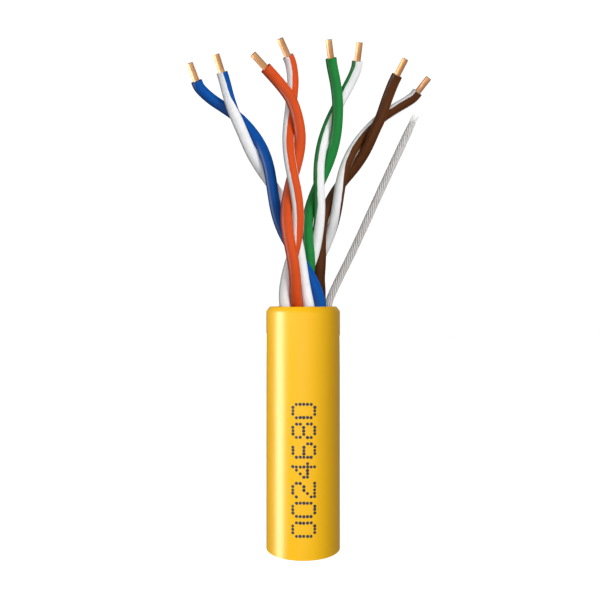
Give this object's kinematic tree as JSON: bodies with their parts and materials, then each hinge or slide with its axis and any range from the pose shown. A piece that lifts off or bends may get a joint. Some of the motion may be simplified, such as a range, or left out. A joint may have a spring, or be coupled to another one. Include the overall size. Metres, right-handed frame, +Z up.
{
  "type": "stripped network cable end",
  "caption": "Stripped end of an unshielded network cable: round jacket stub, loosened twisted pairs fanned out to bare copper tips, and a ripcord leaning out of the mouth.",
  "frame": {"origin": "centre of the jacket at its cut bottom face", "axes": "+Z up the cable towards the bare copper ends; -Y towards the front, where the orange and blue pairs leave the mouth; +X towards the ripcord"},
  "size_m": [0.0182, 0.0069, 0.0379],
  "materials": {
    "jacket_yellow": "smooth extruded plastic, soft gloss",
    "insulation_orange": "smooth extruded plastic",
    "insulation_white_orange": "white with one orange stripe along it",
    "insulation_blue": "smooth extruded plastic",
    "insulation_white_blue": "white with one blue stripe along it",
    "insulation_green": "smooth extruded plastic",
    "insulation_white_green": "white with one green stripe along it",
    "insulation_brown": "smooth extruded plastic",
    "insulation_white_brown": "white with one brown stripe along it",
    "copper": "bright drawn copper",
    "ripcord": "twisted filament thread"
  },
  "bodies": {
    "sheath": {"jacket": "jacket_yellow"},
    "core": {"insulation_orange": "insulation_orange", "conductor_orange": "copper", "insulation_white_orange": "insulation_white_orange", "conductor_white_orange": "copper", "insulation_blue": "insulation_blue", "conductor_blue": "copper", "insulation_white_blue": "insulation_white_blue", "conductor_white_blue": "copper", "insulation_green": "insulation_green", "conductor_green": "copper", "insulation_white_green": "insulation_white_green", "conductor_white_green": "copper", "insulation_brown": "insulation_brown", "conductor_brown": "copper", "insulation_white_brown": "insulation_white_brown", "conductor_white_brown": "copper", "ripcord_inner": "ripcord"},
    "ripcord_end": {"ripcord_free": "ripcord"}
  },
  "joints": [
    {"name": "jacket_strip", "type": "slide", "parent": "sheath", "child": "core", "axis": [0, 0, 1], "range_m": [0, 0.0185]},
    {"name": "ripcord_swing", "type": "hinge", "parent": "core", "child": "ripcord_end", "pos_m": [0.00185, 0, 0.01835], "axis": [0, 1, 0], "range_deg": [-20, 60]}
  ]
}
